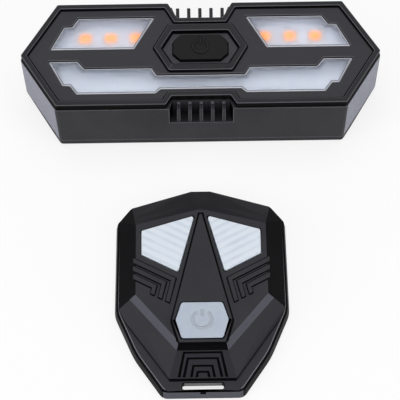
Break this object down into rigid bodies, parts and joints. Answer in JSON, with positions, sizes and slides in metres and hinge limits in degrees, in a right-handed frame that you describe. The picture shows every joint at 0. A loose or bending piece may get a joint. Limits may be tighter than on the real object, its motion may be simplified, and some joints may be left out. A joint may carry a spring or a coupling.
{
  "type": "bicycle turn signal light",
  "caption": "Six-sided bicycle tail light with signal windows, tail window and power key, and a shield-shaped remote with left, right and power keys.",
  "frame": {"origin": "middle of the light's back face, which is also the middle of the bracket socket's seat", "axes": "+X along the light's length to the viewer's right, +Y away from the viewer and from the remote, +Z out of the light's face, up from the table"},
  "size_m": [0.099, 0.1113, 0.0205],
  "materials": {
    "shell_plastic": "fine sand texture",
    "back_plastic": "fine sand texture",
    "face_plastic": "satin",
    "black_seal": "smooth",
    "signal_lens": "frosted behind, clear in front",
    "tail_lens": "opal",
    "white_tray": "gloss white",
    "circuit_board": "solder mask",
    "amber_led": "phosphor",
    "white_led": "phosphor",
    "key_rubber": "soft matt",
    "switch_metal": "tinned",
    "switch_plunger": "plain",
    "cell_foil": "foil",
    "flap_rubber": "soft matt",
    "screw_steel": "black zinc",
    "remote_base_plastic": "satin",
    "remote_plastic": "satin",
    "pad_silicone": "translucent silicone with flutes",
    "power_pad_silicone": "translucent silicone",
    "chip_black": "moulded",
    "cell_steel": "bright"
  },
  "bodies": {
    "light": {"light_shell": "shell_plastic", "light_back_cover": "back_plastic", "light_bezel": "face_plastic", "light_gasket": "black_seal", "left_signal_lens": "signal_lens", "right_signal_lens": "signal_lens", "tail_lens": "tail_lens", "light_reflector": "white_tray", "light_board": "circuit_board", "signal_leds": "amber_led", "tail_leds": "white_led", "light_switch": "switch_metal", "light_battery": "cell_foil", "charge_socket": "switch_metal", "radio_receiver": "circuit_board", "cover_screws": "screw_steel", "board_screws": "screw_steel"},
    "power_button": {"light_power_key": "key_rubber", "light_plunger": "switch_plunger"},
    "charge_flap": {"charge_cover": "flap_rubber"},
    "remote": {"remote_base": "remote_base_plastic", "remote_top": "remote_plastic", "remote_seal": "black_seal", "remote_board": "circuit_board", "remote_switches": "switch_metal", "remote_leds": "white_led", "radio_sender": "chip_black", "coin_cell": "cell_steel", "cell_holder": "chip_black", "cell_contact": "switch_metal", "remote_screws": "screw_steel"},
    "left_button": {"left_key": "pad_silicone", "left_plunger": "switch_plunger"},
    "right_button": {"right_key": "pad_silicone", "right_plunger": "switch_plunger"},
    "remote_power_button": {"remote_power_key": "power_pad_silicone", "power_plunger": "switch_plunger"},
    "door": {"cell_door": "back_plastic", "cell_door_ring": "black_seal"}
  },
  "joints": [
    {"name": "power_press", "type": "slide", "parent": "light", "child": "power_button", "axis": [0, 0, -1], "range_m": [0, 0.0004], "stiffness_N_per_m": 1000},
    {"name": "flap_swing", "type": "hinge", "parent": "light", "child": "charge_flap", "pos_m": [0.0195, 0.01595, 0.013], "axis": [0, 0, 1], "range_deg": [0, 105]},
    {"name": "remote_lift", "type": "slide", "parent": "light", "child": "remote", "axis": [0, 0, 1], "range_m": [0, 0.06]},
    {"name": "left_press", "type": "slide", "parent": "remote", "child": "left_button", "axis": [0, 0, -1], "range_m": [0, 0.00035], "stiffness_N_per_m": 1000},
    {"name": "right_press", "type": "slide", "parent": "remote", "child": "right_button", "axis": [0, 0, -1], "range_m": [0, 0.00035], "stiffness_N_per_m": 1000},
    {"name": "remote_power_press", "type": "slide", "parent": "remote", "child": "remote_power_button", "axis": [0, 0, -1], "range_m": [0, 0.00035], "stiffness_N_per_m": 1000},
    {"name": "door_turn", "type": "hinge", "parent": "remote", "child": "door", "pos_m": [-0.0006, -0.0616, 0], "axis": [0, 0, 1], "range_deg": [0, 35]}
  ]
}
